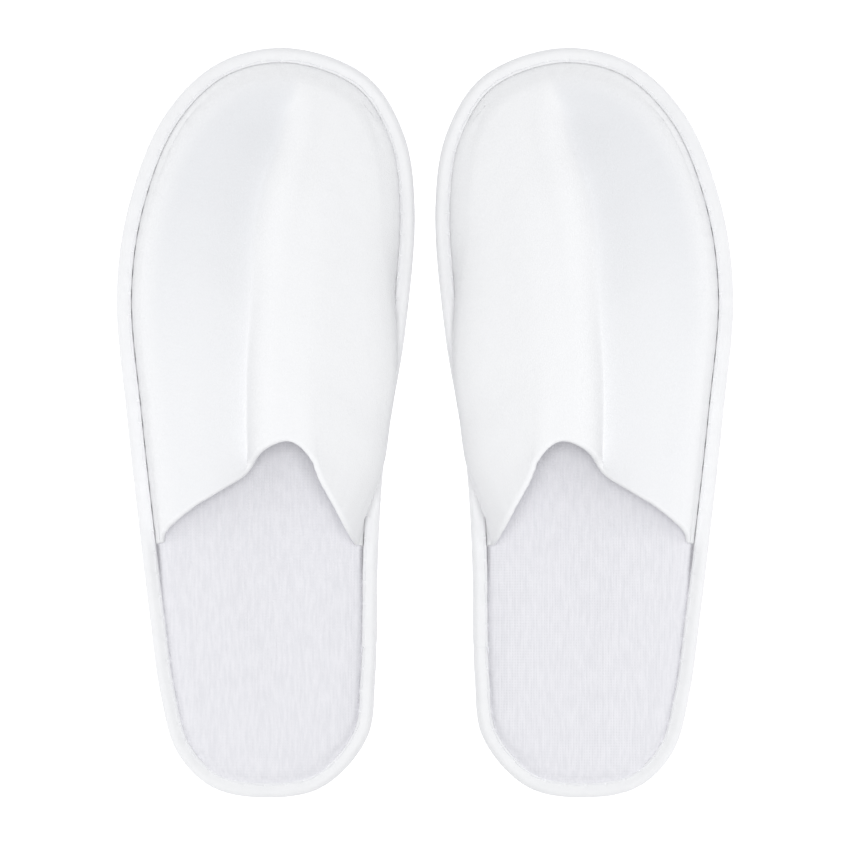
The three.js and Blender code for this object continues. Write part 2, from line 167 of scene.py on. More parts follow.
# The outsole's tread, as in the CAD part. A groove's section is [half width, height above the floor].
GROOVE_PITCH = 9
BALL_TREAD = {"middle": 78, "count": 9, "length": 66}
HEEL_TREAD = {"middle": -96, "count": 7, "length": 48}
GROOVE = [(1.6, -0.5), (1.6, 0), (1.3, 0.12), (1.2, 0.35), (1.15, 0.8), (0.95, 1.03), (0.6, 1.1)]

# The insole cloth.
RIB_PITCH = 1.03
RIB_HEIGHT = 0.055
POINTS_ACROSS_RIB, POINTS_ALONG_RIB = 4, 96
COVER_INSET = 2.2
COVER_RIM = COVER_TOP - 2.8  # height of the cloth where the seam squeezes it

OUTLINE_POINTS = 1400  # of the outline, where the nearest place on it is looked for
SLAB_POINTS = 360  # round the edges of the pad and the sole


def smooth(x, low, high):
    """A soft step from 0 at low to 1 at high."""
    t = np.clip((np.asarray(x, float) - low) / (high - low), 0, 1)
    return t * t * (3 - 2 * t)


def mix(a, b, k):
    return a + (b - a) * k


def bump_at(x, place, width):
    return np.exp(-(((x - place) / width) ** 2))


# ------------------------------------------------------------------ curves


class Curve:
    """A centripetal Catmull-Rom curve through points in the plane, measured by its length."""

    def __init__(self, points, closed, steps=60):
        p = np.array(points, float)
        if closed:
            p = np.vstack([p[-1], p, p[:2]])
        else:
            p = np.vstack([2 * p[0] - p[1], p, 2 * p[-1] - p[-2]])
        pieces = [self.span(p[i : i + 4], steps) for i in range(len(p) - 3)]
        line = np.vstack([*pieces, p[-2]])
        length = np.r_[0, np.cumsum(np.linalg.norm(np.diff(line, axis=0), axis=1))]
        self.length, self.fraction = length[-1], length / length[-1]
        self.line, self.closed = line, closed

    @staticmethod
    def span(p, steps):
        """The stretch of the curve between the second and the third of four points."""
        t = np.r_[0, np.cumsum(np.sqrt(np.linalg.norm(np.diff(p, axis=0), axis=1)))]
        x = np.linspace(t[1], t[2], steps, endpoint=False)[:, None]
        a = [mix(p[i], p[i + 1], (x - t[i]) / (t[i + 1] - t[i])) for i in range(3)]
        b = [mix(a[i], a[i + 1], (x - t[i]) / (t[i + 2] - t[i])) for i in range(2)]
        return mix(b[0], b[1], (x - t[1]) / (t[2] - t[1]))

    def at(self, fraction):
        f = np.mod(fraction, 1) if self.closed else np.clip(fraction, 0, 1)
        return np.stack([np.interp(f, self.fraction, self.line[:, k]) for k in (0, 1)], -1)

    def outward(self, fraction, step=0.0008):
        """The unit vector out of a closed curve that runs clockwise."""
        along = self.at(np.asarray(fraction) + step) - self.at(np.asarray(fraction) - step)
        along /= np.linalg.norm(along, axis=-1, keepdims=True)
        return np.stack([-along[..., 1], along[..., 0]], -1)

    def place(self, fraction, inset):
        return self.at(fraction) - self.outward(fraction) * np.asarray(inset)[..., None]


outline = Curve(OUTLINE, closed=True)


def insets_of(xy):
    """How far inside the outline each point of the plane is, and the nearest fraction of it."""
    fractions = np.linspace(0, 1, OUTLINE_POINTS, endpoint=False)
    edge, out = outline.at(fractions), outline.outward(fractions)
    tree = KDTree(len(edge))
    for i, p in enumerate(edge):
        tree.insert((*p, 0), i)
    tree.balance()
    nearest = np.array([tree.find((x, y, 0))[1] for x, y in xy])
    return -np.sum((xy - edge[nearest]) * out[nearest], axis=1), fractions[nearest]


def with_height(xy, z):
    return np.concatenate([xy, np.broadcast_to(z, xy.shape[:-1])[..., None]], -1)


# ------------------------------------------------------------------ materials


class Look:
    """A procedural material: one Principled shader, with maps in the piece's own space."""

    def __init__(self, name, colour, roughness, sheen=0.0, sheen_roughness=0.5):
        self.material = bpy.data.materials.new(name)
        self.material.use_nodes = True
        self.nodes = self.material.node_tree.nodes
        self.links = self.material.node_tree.links
        self.shader = self.nodes["Principled BSDF"]
        self.shader.inputs["Base Color"].default_value = (*colour, 1)
        self.shader.inputs["Roughness"].default_value = roughness
        self.shader.inputs["Specular IOR Level"].default_value = 0.25
        self.shader.inputs["Sheen Weight"].default_value = sheen
        self.shader.inputs["Sheen Roughness"].default_value = sheen_roughness
        self.place = self.nodes.new("ShaderNodeTexCoord").outputs["Object"]

    def noise(self, size_mm, detail=2.0, stretch=(1, 1, 1)):
        """Noise with features of about a given size."""
        mapping = self.nodes.new("ShaderNodeMapping")
        mapping.inputs["Scale"].default_value = stretch
        self.links.new(self.place, mapping.inputs["Vector"])
        texture = self.nodes.new("ShaderNodeTexNoise")
        texture.inputs["Scale"].default_value = 1 / (size_mm * MM)
        texture.inputs["Detail"].default_value = detail
        self.links.new(mapping.outputs["Vector"], texture.inputs["Vector"])
        return texture.outputs["Fac"]

    def threads(self, axis, pitch_mm):
        """A slightly distorted wave for one set of a cloth's threads, repeating along an axis."""
        radians_per_unit = 20  # of the node's wave, at a scale of 1
        wave = self.nodes.new("ShaderNodeTexWave")
        wave.bands_direction = axis
        wave.inputs["Scale"].default_value = 2 * math.pi / radians_per_unit / (pitch_mm * MM)
        wave.inputs["Distortion"].default_value = 0.6
        wave.inputs["Detail"].default_value = 1.0
        wave.inputs["Detail Scale"].default_value = 1.5
        self.links.new(self.place, wave.inputs["Vector"])
        return wave.outputs["Fac"]

    def tint(self, factor, first, last, limits=(0.35, 0.65)):
        """Varies the base colour between two tones, as the factor goes between its limits."""
        ramp = self.nodes.new("ShaderNodeValToRGB")
        for stop, place, colour in zip(ramp.color_ramp.elements, limits, (first, last)):
            stop.position = place
            stop.color = (*colour, 1)
        self.links.new(factor, ramp.inputs["Fac"])
        self.links.new(ramp.outputs["Color"], self.shader.inputs["Base Color"])

    def bump(self, *heights):
        """Stacks bump maps: each height is (socket, depth in mm)."""
        normal = None
        for height, depth in heights:
            bump = self.nodes.new("ShaderNodeBump")
            bump.inputs["Distance"].default_value = depth * MM
            self.links.new(height, bump.inputs["Height"])
            if normal is not None:
                self.links.new(normal, bump.inputs["Normal"])
            normal = bump.outputs["Normal"]
        self.links.new(normal, self.shader.inputs["Normal"])


def velour():
    """Short pile, with painted shade: its base colour is darker where the upper's point attribute of
    painted shade is high.
    """
    look = Look("velour", (0.88, 0.885, 0.895), 0.95, sheen=0.05, sheen_roughness=0.4)
    brushed = look.nodes.new("ShaderNodeAttribute")
    brushed.attribute_name = "brushed"
    # Painted shade: the attribute takes the base colour from the plain tone down to the darker one.
    look.tint(brushed.outputs["Fac"], (0.876, 0.878, 0.886), (0.79, 0.797, 0.815), limits=(0, 1))
    pile, tuft = look.noise(0.45), look.noise(1.6)
    look.bump((pile, 0.14), (tuft, 0.1))
    return look.material


def ribbed_cloth():
    """The insole's cloth: its ribs are in the mesh, and its slubs and cross threads are here."""
    look = Look("ribbed_cloth", (0.77, 0.77, 0.8), 0.9, sheen=0.1)
    slub = look.noise(1.1, stretch=(1, 0.15, 1))
    look.tint(slub, (0.755, 0.752, 0.785), (0.805, 0.8, 0.832))
    look.bump((look.threads("Y", 1.08), 0.05), (slub, 0.1))
    return look.material


def lining_cloth():
    look = Look("lining_cloth", (0.8, 0.8, 0.83), 0.9)
    look.bump((look.threads("X", 0.8), 0.06), (look.noise(0.6), 0.08))
    return look.material


def binding_tape():
    look = Look("binding_tape", (0.84, 0.842, 0.85), 0.85, sheen=0.05)
    look.tint(look.noise(6), (0.832, 0.834, 0.842), (0.85, 0.851, 0.858))
    look.bump((look.noise(0.5), 0.12))
    return look.material


def thread():
    look = Look("thread", (0.86, 0.865, 0.88), 0.6)
    look.bump((look.noise(0.25), 0.05))
    return look.material


def sponge():
    look = Look("sponge", (0.85, 0.83, 0.76), 1)
    look.bump((look.noise(0.7, detail=4), 0.3))
    return look.material


def white_eva():
    look = Look("white_eva", (0.84, 0.84, 0.83), 0.6)
    look.bump((look.noise(1.2, detail=3), 0.15))
    return look.material


looks = {
    "velour": velour(),
    "ribbed_cloth": ribbed_cloth(),
    "lining_cloth": lining_cloth(),
    "binding_tape": binding_tape(),
    "thread": thread(),
    "sponge": sponge(),
    "white_eva": white_eva(),
}


# ------------------------------------------------------------------ meshes

# The slipper's own frame is set in the shared frame by the binding's box.
binding_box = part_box("left_edge_binding")
box_centre = (binding_box[0].x + binding_box[1].x) / 2 / MM
CENTRE = box_centre - (outline.line.min(0)[0] + outline.line.max(0)[0]) / 2


def make_piece(side, name, slot, points, faces):
    """A mesh from points in the slipper's frame, which stands for the CAD node of its name."""
    mirror = 1 if side == "left" else -1
    p = np.array(points, float)
    p[:, 0] = mirror * (p[:, 0] + CENTRE)
    loops = [tuple(f) if mirror > 0 else tuple(f)[::-1] for f in faces]
    mesh = bpy.data.meshes.new(f"{side}_{name}_looks")
    mesh.from_pydata((p * MM).tolist(), [], loops)
    mesh.shade_smooth()
    mesh.materials.append(looks[slot])
    piece = bpy.data.objects.new(f"{side}_{name}_looks", mesh)
    bpy.context.scene.collection.objects.link(piece)
    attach(piece, f"{side}_slipper")
    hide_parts(f"{side}_{name}")
    return piece


def grid_quads(rows, columns, close_rows=False, close_columns=False, start=0):
    """Quads of a grid whose point (i, j) is number start + i * columns + j."""
    i = np.arange(rows if close_rows else rows - 1)[:, None]
    j = np.arange(columns if close_columns else columns - 1)[None, :]
    here, below = i * columns, ((i + 1) % rows) * columns
    right = (j + 1) % columns
    quads = np.stack([here + j, below + j, below + right, here + right], -1)
    return quads.reshape(-1, 4) + start


def vertex_normals(points, quads):
    a, b = points[quads[:, 2]] - points[quads[:, 0]], points[quads[:, 3]] - points[quads[:, 1]]
    face = np.cross(a, b)
    normals = np.zeros_like(points)
    for k in range(4):
        np.add.at(normals, quads[:, k], face)
    return normals / np.maximum(np.linalg.norm(normals, axis=1, keepdims=True), 1e-12)


def boundary_edges(quads, count):
    """The directed edges that only one quad uses."""
    a, b = quads.reshape(-1), np.roll(quads, -1, axis=1).reshape(-1)
    used = set((a * count + b).tolist())
    lone = [k for k, key in enumerate((b * count + a).tolist()) if key not in used]
    return np.stack([a[lone], b[lone]], -1)


def relaxed(points, quads, free, rounds, share=0.5):
    """Laplacian smoothing of the points whose free value is above 0."""
    a, b = quads.reshape(-1), np.roll(quads, -1, axis=1).reshape(-1)
    p = points.copy()
    for _ in range(rounds):
        total, count = np.zeros_like(p), np.zeros(len(p))
        for x, y in ((a, b), (b, a)):
            np.add.at(total, x, p[y])
            np.add.at(count, x, 1)
        p += (total / count[:, None] - p) * (share * free)[:, None]
    return p


def eased(row, share, rounds):
    """Smooths a row of points or directions along itself, by each one's share, from 0 to 1."""
    row = row.copy()
    for _ in range(rounds):
        row[1:-1] += 0.25 * share[1:-1, None] * (row[:-2] + row[2:] - 2 * row[1:-1])
    return row


def shell(points, quads, low, high):
    """A closed sheet between two offsets from a surface: its points are the surface's, twice."""
    normals = vertex_normals(points, quads)
    count = len(points)
    top = points + normals * np.reshape(high, (-1, 1))
    bottom = points + normals * np.reshape(low, (-1, 1))
    rim = boundary_edges(quads, count)
    walls = np.stack([rim[:, 1], rim[:, 0], rim[:, 0] + count, rim[:, 1] + count], -1)
    return np.vstack([top, bottom]), np.vstack([quads, quads[:, ::-1] + count, walls])


def end_caps(first, last, size):
    """Flat faces on the first and the last ring of a run of closed rings."""
    return [list(range(first, first + size)), list(range(last, last + size))[::-1]]


def tube(path, radius, sides, closed=False):
    """A round tube along a path of points, with flat ends unless it is closed."""
    ahead = np.roll(path, -1, 0) - np.roll(path, 1, 0)
    if not closed:
        ahead[0], ahead[-1] = path[1] - path[0], path[-1] - path[-2]
    ahead /= np.linalg.norm(ahead, axis=1, keepdims=True)
    across = np.cross(ahead, (0.0, 0.0, 1.0))
    weak = np.linalg.norm(across, axis=1) < 0.2  # where the path is nearly upright
    across[weak] = np.cross(ahead[weak], (0.3, 1.0, 0.0))
    across /= np.linalg.norm(across, axis=1, keepdims=True)
    up = np.cross(across, ahead)
    turn = np.arange(sides) * 2 * math.pi / sides
    ring = np.cos(turn)[None, :, None] * across[:, None] + np.sin(turn)[None, :, None] * up[:, None]
    points = (path[:, None] + radius * ring).reshape(-1, 3)
    faces = grid_quads(len(path), sides, closed, True).tolist()
    if not closed:
        faces += end_caps(0, len(points) - sides, sides)
    return points, faces


# ------------------------------------------------------------------ uneven cloth

rng = np.random.default_rng(7)


def ripples(xy, wavelength, count=14):
    """A smooth random field of about unit size: a sum of sine waves in random directions."""
    total = np.zeros(len(xy))
    for _ in range(count):
        angle, phase = rng.uniform(0, 2 * math.pi, 2)
        wave = 2 * math.pi / (wavelength * rng.uniform(0.7, 1.5))
        total += np.sin(wave * (xy[:, 0] * math.cos(angle) + xy[:, 1] * math.sin(angle)) + phase)
    return total * math.sqrt(2 / count)


def uneven(xy, layers):
    """A sum of random fields, each given by its height and its wavelength."""
    return sum(height * ripples(xy, wavelength) for height, wavelength in layers)


# ------------------------------------------------------------------ stitches


def hole_distance(fraction):
    """Distance in mm along the outline to the nearest needle hole."""
    phase = np.mod((np.asarray(fraction) - RUN_START) * STITCHES, 1)
    return np.minimum(phase, 1 - phase) * outline.length / STITCHES


def along_stitches(stitches, phases):
    """Fractions of the outline at the same phases of each stitch."""
    return (RUN_START + (np.asarray(stitches)[:, None] + phases) / STITCHES).reshape(-1)


# ------------------------------------------------------------------ the upper


def through(points, place, blur=0.0):
    """A curve through [place, value] points, with its corners rounded by a running mean."""
    fine = np.linspace(-0.1, 1.1, 1201)
    curve = np.interp(fine, *zip(*points))
    if blur:
        window = np.hanning(int(blur * 1000) // 2 * 2 + 3)
        curve = np.convolve(np.pad(curve, len(window) // 2, "edge"), window / window.sum(), "valid")
    return np.interp(place, fine, curve)


mouth_edge = Curve(
    [
        outline.place(LATERAL_MOUTH, WALL_INSET),
        *[(x, y + LIP) for x, y in MOUTH],
        outline.place(MEDIAL_MOUTH, WALL_INSET),
    ],
    closed=False,
)


def lateral_at(t):
    return mix(LATERAL_TOE, LATERAL_MOUTH, t)


def medial_at(t):
    return mix(MEDIAL_TOE, MEDIAL_MOUTH, t)


def toe_at(s):
    return mix(LATERAL_TOE - 1, MEDIAL_TOE, s)


def upper_plan(s, t):
    """A Coons patch between the toe's arc, the two sides and the mouth's edge."""
    toe, mouth = outline.place(toe_at(s), WALL_INSET), mouth_edge.at(s)
    lateral = outline.place(lateral_at(t), WALL_INSET)
    medial = outline.place(medial_at(t), WALL_INSET)
    s, t = s[:, None], t[:, None]
    toe_chord = mix(outline.place(toe_at(0), WALL_INSET), outline.place(toe_at(1), WALL_INSET), s)
    mouth_chord = mix(mouth_edge.at(0), mouth_edge.at(1), s)
    return mix(toe, mouth, t) + mix(lateral, medial, s) - mix(toe_chord, mouth_chord, t)


def fold_place(s, t):
    """The place across the foot, stretched so that the packing fold is always at FOLD."""
    fold = through(CREASE, t, 0.06)
    lateral = s / fold * FOLD
    medial = 1 - (1 - s) / (1 - fold) * (1 - FOLD)
    return np.where(s < fold, lateral, medial)


def wall_height(t):
    return mix(TOE_WALL_HEIGHT, WALL_HEIGHT, smooth(t, 0, 0.35))


def upper_height(s, t):
    """The height of the lining's inner surface. The lateral half rises soon behind the toes and
    the medial half rises steadily up to the mouth."""
    place = fold_place(s, t)
    soon = (np.sqrt(t + 0.04) - 0.2) / (math.sqrt(1.04) - 0.2)  # from 0 to 1, steep at first
    lateral = LATERAL_RISE * soon * through(LATERAL_ARCH, place, 0.02)
    at_toe, at_mouth = through(MEDIAL_TOE_ARCH, place, 0.03), through(MEDIAL_ARCH, place, 0.03)
    medial = MEDIAL_RISE * t**1.15 * mix(at_toe, at_mouth, smooth(t, 0.3, 0.6))
    depth = CREASE_DEPTH * smooth(t, 0.06, 0.16) * (1 - 0.62 * smooth(t, 0.3, 0.65))
    valley = depth * bump_at(place, FOLD, np.where(place < FOLD, LATERAL_VALLEY, MEDIAL_VALLEY))
    return wall_height(t) + lateral + medial - valley


def upper_base():
    """The smooth inner surface of the upper: the arched patch, and its skirt down to the seam.

    Each point has its place across the foot (s), its place from toe to mouth (t) and the number
    of its ring in the skirt, which is -1 on the patch. A ring runs from the lateral corner of the
    mouth round the toe to the medial corner."""
    edge = HEM / SIDE_LENGTH
    rows = np.r_[np.linspace(0, 1 - edge, ROWS - HEM_ROWS), np.linspace(1 - edge, 1, HEM_ROWS + 1)[1:]]
    even = np.linspace(0, 1, COLUMNS)
    columns = mix(even, (1 - np.cos(math.pi * even)) / 2, 0.5)  # closer together at the sides
    t, s = (a.reshape(-1) for a in np.meshgrid(rows, columns, indexing="ij"))
    points = with_height(upper_plan(s, t), upper_height(s, t))
    quads = grid_quads(ROWS, COLUMNS)

    first = np.arange(ROWS) * COLUMNS
    path = np.r_[first[::-1], np.arange(1, COLUMNS - 1), first + COLUMNS - 1]
    path_s, path_t = s[path], t[path]
    fractions = np.r_[lateral_at(rows[::-1]), toe_at(columns[1:-1]), medial_at(rows)]
    to_heel = np.where(path_s > 0.5, 1, -1) * TIP / outline.length * smooth(path_t, 0.96, 1)
    inner = path
    for inset, share, *_ in SKIRT:
        wider = SIDE_GROOVE * (share > 0) * smooth(path_t, 0.05, 0.4)
        place = outline.place(fractions + to_heel * (1 - share), inset + wider)
        foot = SEAM_HEIGHT - DITCH * float(bump_at(inset, DITCH_INSET, DITCH_WIDTH))
        outer = len(points) + np.arange(RING)
        points = np.vstack([points, with_height(place, mix(foot, wall_height(path_t), share))])
        quads = np.vstack([quads, np.stack([inner[:-1], inner[1:], outer[1:], outer[:-1]], -1)])
        inner, s, t = outer, np.r_[s, path_s], np.r_[t, path_t]
    ring = np.r_[np.full(PATCH, -1), np.repeat(np.arange(len(SKIRT)), RING)]
    return points, quads, s, t, ring


def swelling(s, t, ring):
    """How far the medial wall stands out: over the tape beside the foot, and beside the big toe."""
    medial_share, toe_share = np.array(SKIRT).T[2:]
    along = smooth(t, 0.3, 0.72) * (1 - np.clip((t - 0.82) / 0.18, 0, 1) ** 1.5)
    section = np.where(ring < 0, through(BULGE, s, 0.03), medial_share[ring] * (s == 1))
    beside_toe = smooth(t, 0, 0.08) * (1 - smooth(t, 0.3, 0.6)) * (s > 0.5)
    toe_section = np.where(ring < 0, smooth(s, 0.93, 1), toe_share[ring])
    return MEDIAL_BULGE * along * section + TOE_BULGE * beside_toe * toe_section


def relief(xy, s, t, ring, insets, near):
    """How far the cloth rises from its smooth surface: the ridge beside the fold and the faint
    groove beyond it, the pull of each stitch, the turned edge's waves and the unevenness."""
    place = fold_place(s, t)
    ridge = RIDGE * bump_at(place, FOLD + 0.08, 0.035) * smooth(t, 0.08, 0.2)
    groove_length = smooth(t, 0.45, 0.6) * (1 - smooth(t, 0.93, 1))
    groove = GROOVE_BESIDE_RIDGE * bump_at(place, FOLD + 0.14, 0.013) * groove_length
    pucker = PUCKER * bump_at(hole_distance(near), 0, 1.8) * bump_at(insets, 8, 3) * (ring < FREE_RINGS)
    to_mouth = (1 - t) * SIDE_LENGTH
    waves = np.sin(s * mouth_edge.length / GATHER_PITCH * 2 * math.pi)
    gather = GATHER * waves * np.exp(-to_mouth / GATHER_REACH)
    quiet = smooth(insets, 8, 18)
    return (ridge - groove + (gather + uneven(xy, UPPER_UNEVEN)) * quiet) * (ring < 0) - pucker


def detailed_upper():
    """The inner surface with all its relief, and for each point: how full the sponge is there,
    how much painted shade the velour gets there, and how near the packing fold it is."""
    points, quads, s, t, ring = upper_base()
    near_mouth = smooth((1 - t) * SIDE_LENGTH, 1, 16)
    free = np.where((ring < FREE_RINGS) & (t < 1), mix(0.12, 1, near_mouth), 0.0)
    points = relaxed(points, quads, free, 10)
    insets, near = insets_of(points[:, :2])
    points[:, :2] += outline.outward(medial_at(t)) * swelling(s, t, ring)[:, None]
    points = relaxed(points, quads, free, 4)
    lift = relief(points[:, :2], s, t, ring, insets, near)
    points = points + vertex_normals(points, quads) * lift[:, None]

    place = fold_place(s, t)
    in_fold = bump_at(place, FOLD + 0.01, 0.1) * (ring < 0)
    points[MOUTH_ROW] = eased(points[MOUTH_ROW], in_fold[MOUTH_ROW], 4)
    full = smooth(insets, 6.4, 15) * (ring < FREE_RINGS)
    lateral_half = 1 - smooth(place, FOLD - 0.03, FOLD + 0.04)
    # Painted shade on the velour: darker over the lateral half of the fold, most behind the toes, less
    # towards the mouth, and none near the seam.
    brushed = lateral_half * (1 - 0.6 * smooth(t, 0.2, 0.8)) * smooth(insets, 8, 20)
    return SimpleNamespace(points=points, quads=quads, full=full, brushed=brushed, in_fold=in_fold)


def stopping_before_mouth(quads, rows_back, with_skirt):
    """The quads of the patch, and of its skirt, that stop some rows before the mouth."""
    on_patch = quads < PATCH
    in_rows = quads // COLUMNS <= ROWS - 1 - rows_back
    on_ring = (quads - PATCH) % RING
    in_ring = with_skirt & (on_ring >= rows_back) & (on_ring < RING - rows_back)
    return quads[np.where(on_patch, in_rows, in_ring).all(1)]


def compact(points, quads, *values):
    """Drops the points that no quad uses."""
    used, renumbered = np.unique(quads, return_inverse=True)
    return points[used], renumbered.reshape(quads.shape), *(v[used] for v in values)


def mouth_directions(points, normals, mouth, before):
    """At each point of the mouth's edge: the way out of the cloth, and its normal."""
    along, up = np.gradient(points[mouth], axis=0), normals[mouth]
    forward = np.cross(along, up)
    forward *= np.sign(np.sum(forward * (points[mouth] - points[before]), axis=1, keepdims=True))
    forward /= np.linalg.norm(forward, axis=1, keepdims=True)
    return forward, up


def velour_middle(upper):
    """The middle of the velour: out over the sponge, round the mouth's edge and in to the lining.

    The fold is too sharp to be offset as it is, so there the surface is relaxed, and the rings
    round the mouth's edge are eased along themselves."""
    points, quads = upper.points, upper.quads
    normals = vertex_normals(points, quads)
    normals[MOUTH_ROW] = eased(normals[MOUTH_ROW], upper.in_fold[MOUTH_ROW], 12)
    normals /= np.linalg.norm(normals, axis=1, keepdims=True)
    out = mix(SQUEEZED, CLOTH + GAP, upper.full) + SPONGE * upper.full + FACE / 2
    middle = points + normals * out[:, None]

    skirt_ends = PATCH + RING * np.arange(len(SKIRT))
    mouth = np.r_[skirt_ends[::-1], MOUTH_ROW, skirt_ends + RING - 1]
    row_back = np.repeat([1, -COLUMNS, -1], [len(SKIRT), COLUMNS, len(SKIRT)])
    loose = np.minimum(1, 2 * upper.in_fold)
    loose_mouth = loose[mouth]
    middle[mouth] = eased(middle[mouth], loose_mouth, 8)
    loose[MOUTH_ROW] = 0
    middle = relaxed(middle, quads, loose, 24)

    forward, up = mouth_directions(points, normals, mouth, mouth + 3 * row_back)
    inner = FACE / 2
    radius, centre = (out[mouth] - inner) / 2, (out[mouth] + inner) / 2
    rings = []
    for turn in np.linspace(0, math.pi, 10)[1:]:
        reach = (radius * math.sin(turn))[:, None] * forward
        rings.append(points[mouth] + up * (centre + radius * math.cos(turn))[:, None] + reach)
    for back in (*range(1, HEM_ROWS), HEM_ROWS - 0.4):  # the last ring all but meets the lining
        near, far = mouth + math.floor(back) * row_back, mouth + math.ceil(back) * row_back
        place = mix(points[near], points[far], back % 1)
        rings.append(place + mix(normals[near], normals[far], back % 1) * inner)

    strip = np.vstack([eased(ring, loose_mouth, 8) for ring in rings])
    first = len(middle)
    ids = first + np.arange(len(mouth))
    join = np.stack([mouth[:-1], ids[:-1], ids[1:], mouth[1:]], -1)
    strip_quads = grid_quads(len(rings), len(mouth), start=first)
    return np.vstack([middle, strip]), np.vstack([quads, join, strip_quads])


def build_upper(side, upper):
    middle, middle_quads = velour_middle(upper)
    face = make_piece(side, "upper_face", "velour", *shell(middle, middle_quads, -FACE / 2, FACE / 2))
    # The velour's painted shade, passed on as a point attribute.
    brushed = np.zeros((2, len(middle)))  # twice, as shell() doubles the points
    brushed[:, : len(upper.brushed)] = upper.brushed
    attribute = face.data.attributes.new("brushed", "FLOAT", "POINT")
    attribute.data.foreach_set("value", brushed.reshape(-1))

    points, quads = compact(upper.points, stopping_before_mouth(upper.quads, HEM_ROWS, True))
    lining = make_piece(side, "upper_lining", "lining_cloth", *shell(points, quads, 0, CLOTH))

    foam_quads = stopping_before_mouth(upper.quads, FOAM_END, False)
    points, quads, full = compact(upper.points, foam_quads, upper.full)
    low, high = CLOTH + GAP, CLOTH + SPONGE * np.maximum(full, 0.35)
    foam = make_piece(side, "upper_foam", "sponge", *shell(points, quads, low, high))


def build_mouth_seam(side, upper):
    """The seam's thread, which wanders a little, inside the turned edge."""
    normals = vertex_normals(upper.points, upper.quads)
    row = MOUTH_ROW[4:-4]
    forward, up = mouth_directions(upper.points, normals, row, row - 3 * COLUMNS)
    height = 1.3 + 0.12 * np.sin(np.arange(len(row)) * 1.9)
    path = upper.points[row] - forward * 1.2 + up * height[:, None]
    make_piece(side, "mouth_seam_thread", "thread", *tube(path, SEAM_THREAD_RADIUS, THREAD_SIDES))


# ------------------------------------------------------------------ binding and its stitches


def tape_top(fraction):
    """Height of the tape's crest: higher where it also covers the upper's layers."""
    f = np.mod(fraction, 1)
    ramp = 0.035
    past_medial = smooth(f, MEDIAL_MOUTH, MEDIAL_MOUTH + ramp)
    past_lateral = smooth(f, LATERAL_MOUTH - ramp, LATERAL_MOUTH)
    return TAPE_TOP + TAPE_PUFF - TAPE_DROP * past_medial * (1 - past_lateral)


def tape_surface(fraction, inset):
    """Height of the tape's upper surface between its crest and its inner edge: it slopes down
    to the seam, is pulled in at each needle hole and puffs up a little between them."""
    distance = hole_distance(fraction)
    slope = 1.1 * smooth(inset, 1.8, 5.9) + 0.4 * smooth(inset, 4.8, 5.9)
    hole = 0.3 * bump_at(distance, 0, 0.6) * bump_at(inset, STITCH_INSET, 0.6)
    pull = 0.1 * bump_at(distance, 0, 1.9) * smooth(inset, 2.5, 4.8)
    return tape_top(fraction) - slope - hole - pull


def tape_ring(fraction):
    """The tape's closed section at one place, as [inset, height] points.

    Where its ends overlap, the first layer is pressed in and the last one lies on top, with its
    end pressed flat except at the inner edge."""
    end = RUN_START + 1
    first = -0.4 * float(1 - smooth(fraction, RUN_START, RUN_START + 0.006))
    last = 0.12 * float(smooth(fraction, end - OVERLAP - 0.006, end - OVERLAP))
    dive = 0.45 * float(smooth(fraction, end - 0.004, end))

    edge = TAPE_EDGE - 0.15 * float(bump_at(hole_distance(fraction), 0, 2))
    top = [(x, float(tape_surface(fraction, x))) for x in (edge, 5.3, 4.9, 4.5, 4.1, 3.6, 2.9, CREST_INSET)]
    shoulder, hem = top[-1][1] - SHOULDER_DROP, TAPE_BOTTOM + CREST_INSET
    turns = np.linspace(0, 1.57, 7)  # radians, to a quarter turn
    upper = [(CREST_INSET * (1 - math.sin(a)), shoulder + SHOULDER_DROP * math.cos(a)) for a in turns[1:]]
    lower = [(CREST_INSET * (1 - math.cos(a)), hem - CREST_INSET * math.sin(a)) for a in turns]
    belly = (-0.12, (shoulder + hem) / 2)
    outer = np.array([*top, *upper, belly, *lower, (3.6, TAPE_BOTTOM), (5.4, TAPE_BOTTOM)])

    ahead = np.gradient(outer, axis=0)
    normal = np.stack([-ahead[:, 1], ahead[:, 0]], -1)
    normal /= np.linalg.norm(normal, axis=1, keepdims=True)
    inner = outer + normal * TAPE
    across = outer[:, :1]
    proud = first + last - dive * (1 - smooth(across, 3.6, 4.8))
    lift = normal * proud * mix(0.5, 1, smooth(across, 1.5, 4.5))
    return np.vstack([outer - lift, (inner - lift)[::-1]])


def build_binding(side):
    """The tape, with more sections near each needle hole, and its ends closed by quads."""
    phases = np.array([0, 0.03, 0.065, 0.11, 0.17, 0.26, 0.4, 0.6, 0.74, 0.83, 0.89, 0.935, 0.97])
    fractions = along_stitches(range(-2, STITCHES), phases)
    fractions = np.append(fractions[fractions > RUN_START - OVERLAP], RUN_START + 1)
    rings = []
    for f in fractions:
        inset, height = tape_ring(f).T
        rings.append(with_height(outline.place(np.full(len(inset), f), inset), height))
    size = len(rings[0])
    faces = grid_quads(len(rings), size, False, True).tolist()
    last = (len(rings) - 1) * size
    for k in range(size // 2 - 1):
        outer, inner = k, size - 1 - k  # the same place on the two sides of the tape
        faces.append([outer, outer + 1, inner - 1, inner])
        faces.append([last + inner, last + inner - 1, last + outer + 1, last + outer])
    tape = make_piece(side, "edge_binding", "binding_tape", np.vstack(rings), faces)


